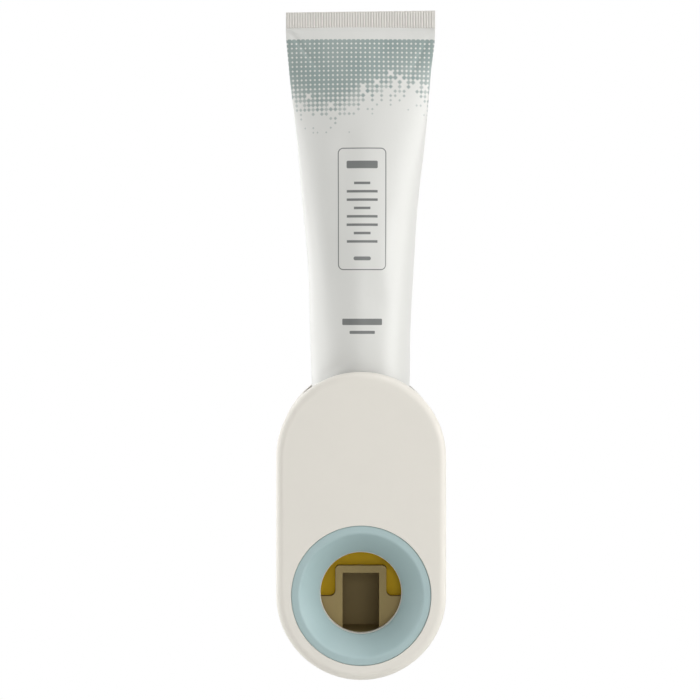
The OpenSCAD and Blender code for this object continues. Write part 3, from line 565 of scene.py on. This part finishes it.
def neck_thread():
    """A rounded ridge that climbs round the tube's neck for a little over two turns: an ellipse
    carried along a helix, whose size falls to about a tenth of a millimetre at both ends."""
    turns, steps, sides = 2.2, 200, 16
    radius, low, rise, end_size, full_size = 5.98, 25.2, 5.4, 0.1, 0.45
    t = np.linspace(0, 1, steps)
    angle = 2 * math.pi * turns * t
    path = np.stack([
        radius * np.cos(angle), TUBE_Y + radius * np.sin(angle), low + rise * t
    ], -1)
    out = np.stack([np.cos(angle), np.sin(angle), 0 * angle], -1)
    size = end_size + full_size * smooth(t / 0.08) * smooth((1 - t) / 0.08)
    turn = np.linspace(0, 2 * math.pi, sides, endpoint=False)[None, :, None]
    grid = path[:, None] + size[:, None, None] * (
        0.9 * np.cos(turn) * out[:, None] + 1.2 * np.sin(turn) * np.array([0, 0, 1.0])
    )
    points = np.concatenate([grid.reshape(-1, 3), path[:1], path[-1:]])
    quads = ring_quads(steps, sides)[:, ::-1]
    fans = end_fans(steps, sides, steps * sides, steps * sides + 1)[:, ::-1]
    return make_piece("neck_thread", points, quads.tolist() + fans.tolist())


dress(tube_skin(), "tube", "tube_laminate", PRINT, ["tube_body"])
dress(tube_crimp(), "tube", "tube_laminate")
dress(neck_thread(), "tube", "tube_head_plastic")


# Springs and bulb

COIL_X = 15.4
COIL_Z = -36.75
COIL_V = 24.0
COIL_BACK_V = 39.0


def return_coil(name, x):
    """One spring: a helix along the depth axis whose first and last turns lie flat. Its rise is
    one wire thickness in each end turn, and the open turns share the rest evenly."""
    r, wire_r, turns, turn_steps, sides = 2.75, 0.35, 8, 48, 12
    long = COIL_BACK_V - COIL_V
    t = np.linspace(0, turns, turns * turn_steps + 1)
    open_rise = (long - 6 * wire_r) / (turns - 2)
    rise = np.where(t < 1, wire_r * (1 + 2 * t), 3 * wire_r + (t - 1) * open_rise)
    rise = np.where(t > turns - 1, long - wire_r * (1 + 2 * (turns - t)), rise)
    path = np.stack([
        x + r * np.cos(2 * math.pi * t), FRONT_Y + COIL_V + rise,
        COIL_Z + r * np.sin(2 * math.pi * t),
    ], -1)
    points, faces = coil_rod(path, wire_r, sides)
    return make_piece(name, points, faces)


for name, x in (("return_coil_left", -COIL_X), ("return_coil_right", COIL_X)):
    coil = dress(return_coil(name, x), "housing", "steel", None, ["return_springs"])
    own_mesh(coil)


def bend(a, b, c, steps=16):
    """Points of a smooth bend from a to c, drawn towards b: (1-t)^2 a + 2t(1-t) b + t^2 c."""
    t = np.linspace(0, 1, steps)[:, None]
    return (1 - t) ** 2 * np.array(a) + 2 * t * (1 - t) * np.array(b) + t ** 2 * np.array(c)


def bulb_belly():
    """The bulb's belly: a wall 1.4 mm thick that swells from the throat to 9 mm and closes on
    the spout, turned round the tube's axis."""
    outside = np.concatenate([
        bend((6.8, 7.8), (9, 5.0), (9, 1.98)), bend((9, -1.96), (9, -7.4), (4.1, -8.4))
    ])
    inside = np.concatenate([
        bend((2.7, -6.8), (7.6, -6.2), (7.6, -1.56)), bend((7.6, 1.58), (7.6, 4.4), (5.4, 7.4))
    ])
    return turned_piece("bulb_belly", np.concatenate([outside, inside])[::-1], 128)


def bulb_ends():
    """The bulb's flange with its throat, and its spout, which stay round while the belly is
    squeezed."""
    flange = turned_piece("bulb_flange", np.array([
        [5.4, 12.0], [5.4, 7.4], [6.8, 7.8], [6.8, 10.0], [10.4, 10.0], [10.4, 12.0]
    ]), 128)
    spout = turned_piece("bulb_spout", np.array([
        [2.7, -6.8], [2.7, -12.7], [4.1, -12.7], [4.1, -8.4]
    ]), 96)
    return flange, spout


belly = dress(bulb_belly(), "housing", "silicone", None, ["pump_bulb"])
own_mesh(belly)
for end in bulb_ends():
    dress(end, "housing", "silicone", None, ["pump_bulb"])


# Window of the guide disc

HOOD_W = 20.0
HOOD_RISE = 10.0
WING_DROP = 2.0
WING_H = 16.0
HOOD_TOP = MOUTH_Z + HOOD_RISE
WING_TOP = MOUTH_Z - WING_DROP
WING_BOTTOM = WING_TOP - WING_H
CARRIAGE_R = 21.9
CORNER_R = 1.6
FILLET_R = 2.2
DISC_V = 17.0
DISC_T = 2.0


def arc(x, z, radius, start, end, steps):
    """Points of an arc about (x, z) between two angles in degrees."""
    turn = np.radians(np.linspace(start, end, steps))
    return np.stack([x + radius * np.cos(turn), z + radius * np.sin(turn)], -1)


def carriage_outline(grow):
    """Outline of the carriage, grown sideways: a hood with rounded corners over two wings that
    end on a circle about the mouth, with a hollow round where they meet. The right half runs
    from the top's middle to the bottom's, and the left half is its mirror."""
    half, r = HOOD_W / 2 + grow, CARRIAGE_R + grow
    top, under, low = HOOD_TOP + grow, WING_TOP + grow, WING_BOTTOM - grow
    first, last = (math.degrees(math.asin((z - MOUTH_Z) / r)) for z in (under, low))
    right = np.concatenate([
        [[0, top]], arc(half - CORNER_R, top - CORNER_R, CORNER_R, 90, 0, 12),
        arc(half + FILLET_R, under + FILLET_R, FILLET_R, 180, 270, 14),
        arc(0, MOUTH_Z, r, first, last, 40), [[0, low]],
    ])
    return np.concatenate([right, right[-2:0:-1] * [-1, 1]])


def window_lip():
    """A moulded lip in the disc's window that stops 0.06 mm short of the carriage: a bar with
    a round at its front inner edge, carried round the carriage's outline."""
    gap, root, rise, round_r, short = 0.06, 0.55, 0.012, 0.1, 0.05
    t = np.radians(np.linspace(0, 90, 7))
    front, back = DISC_V - rise, DISC_V + DISC_T - short
    grow = np.concatenate([[root], gap + round_r * (1 - np.sin(t)), [gap, root]])
    depth = np.concatenate([[front], front + round_r * (1 - np.cos(t)), [back, back]])
    rows = []
    for g, v in zip(grow, depth):
        line = carriage_outline(g)
        rows.append(np.stack([line[:, 0], np.full(len(line), FRONT_Y + v), line[:, 1]], -1))
    grid = np.stack(rows)
    faces = ring_quads(len(rows), grid.shape[1], True)[:, ::-1]
    return make_piece("window_lip", grid.reshape(-1, 3), faces.tolist())


dress(window_lip(), "housing", "disc_plastic")


# Floor, light and camera

def shown_rays(tree):
    """A socket that is 1 for what the camera, reflections and clear pieces see, and 0 for the
    light that falls on a surface."""
    ray = tree.nodes.new("ShaderNodeLightPath").outputs
    seen = ray["Is Camera Ray"]
    for other in ("Is Glossy Ray", "Is Transmission Ray"):
        either = tree.nodes.new("ShaderNodeMath")
        either.operation = "MAXIMUM"
        tree.links.new(seen, either.inputs[0])
        tree.links.new(ray[other], either.inputs[1])
        seen = either.outputs[0]
    return seen


def stage_floor():
    """A flat pale square below the dispenser, which looks halfway to white."""
    half, z, white_part = 0.8, -0.25, 0.55
    mesh = bpy.data.meshes.new("floor")
    mesh.from_pydata([(-half, -half, z), (half, -half, z), (half, half, z), (-half, half, z)],
                     [], [(0, 1, 2, 3)])
    floor = bpy.data.objects.new("floor", mesh)
    bpy.context.scene.collection.objects.link(floor)
    r = Recipe("floor_pale")
    pale = srgb(236, 236, 234)
    mesh.materials.append(r.surface(
        Base_Color=r.mix(r.noise(60, 2.0), pale, shade(pale, 1.03)), Roughness=0.8))
    white = r.node("ShaderNodeEmission", Color=(1, 1, 1, 1)).outputs[0]
    blend = r.tree.nodes.new("ShaderNodeMixShader")
    for socket, term in zip(blend.inputs, (
            r.calc("MULTIPLY", shown_rays(r.tree), white_part), r.bsdf.outputs[0], white)):
        r.tree.links.new(term, socket)
    r.tree.links.new(blend.outputs[0], r.tree.nodes["Material Output"].inputs["Surface"])


def white_surroundings():
    """A white room: the camera, reflections and clear pieces see pure white, while the light
    that its walls give is plainer."""
    world = bpy.data.worlds.new("room")
    bpy.context.scene.world = world
    world.use_nodes = True
    tree = world.node_tree
    wall_light = 0.22
    strength = tree.nodes.new("ShaderNodeMapRange")
    strength.inputs["To Min"].default_value = wall_light
    tree.links.new(shown_rays(tree), strength.inputs["Value"])
    back = tree.nodes["Background"]
    back.inputs["Color"].default_value = (1, 1, 1, 1)
    tree.links.new(strength.outputs["Result"], back.inputs["Strength"])


def softbox(name, where, size, share):
    """A square lamp aimed at the dispenser. share is the part of a plain full light that it
    gives a surface facing it: power = share * pi^2 * distance^2."""
    lamp = bpy.data.lights.new(name, "AREA")
    lamp.shape = "SQUARE"
    lamp.size = size
    at, aim = Vector(where), Vector((0, -0.045, 0.03))
    lamp.energy = share * math.pi ** 2 * (at - aim).length_squared
    box = bpy.data.objects.new(name, lamp)
    box.location = at
    box.rotation_euler = (aim - at).to_track_quat("-Z", "Y").to_euler()
    bpy.context.scene.collection.objects.link(box)


def photo_camera():
    """The photograph's view: level, along +Y, 850 mm in front of the cover. The lens stands a
    little above and left of the picture's middle, which the shift makes up for."""
    lens = bpy.data.cameras.new("photo_camera")
    lens.sensor_width = 36
    lens.angle = math.radians(18.1)
    lens.clip_start = 0.01
    lens.shift_x = 0.0143
    lens.shift_y = -0.0714
    camera = bpy.data.objects.new("photo_camera", lens)
    camera.location = (-0.00821, -0.9108, 0.0877)
    camera.rotation_euler = (math.pi / 2, 0, 0)
    bpy.context.scene.collection.objects.link(camera)
    bpy.context.scene.camera = camera


stage_floor()
white_surroundings()
softbox("key_right", (1.0, -0.42, 0.15), 0.7, 0.5)
softbox("key_high", (0.7, -0.62, 0.5), 0.5, 0.06)
softbox("rim_left", (-0.95, 0.35, 0.1), 1.4, 0.92)
softbox("side_left", (-1.0, -0.25, 0.1), 0.8, 0.26)
softbox("fill_front", (0.15, -1.6, 0.15), 0.7, 0.16)
softbox("rim_top", (0.3, -0.3, 1.0), 0.7, 0.4)
softbox("rim_low", (0.1, -0.4, -0.9), 0.7, 0.12)
photo_camera()
bpy.context.scene.view_settings.view_transform = "Standard"
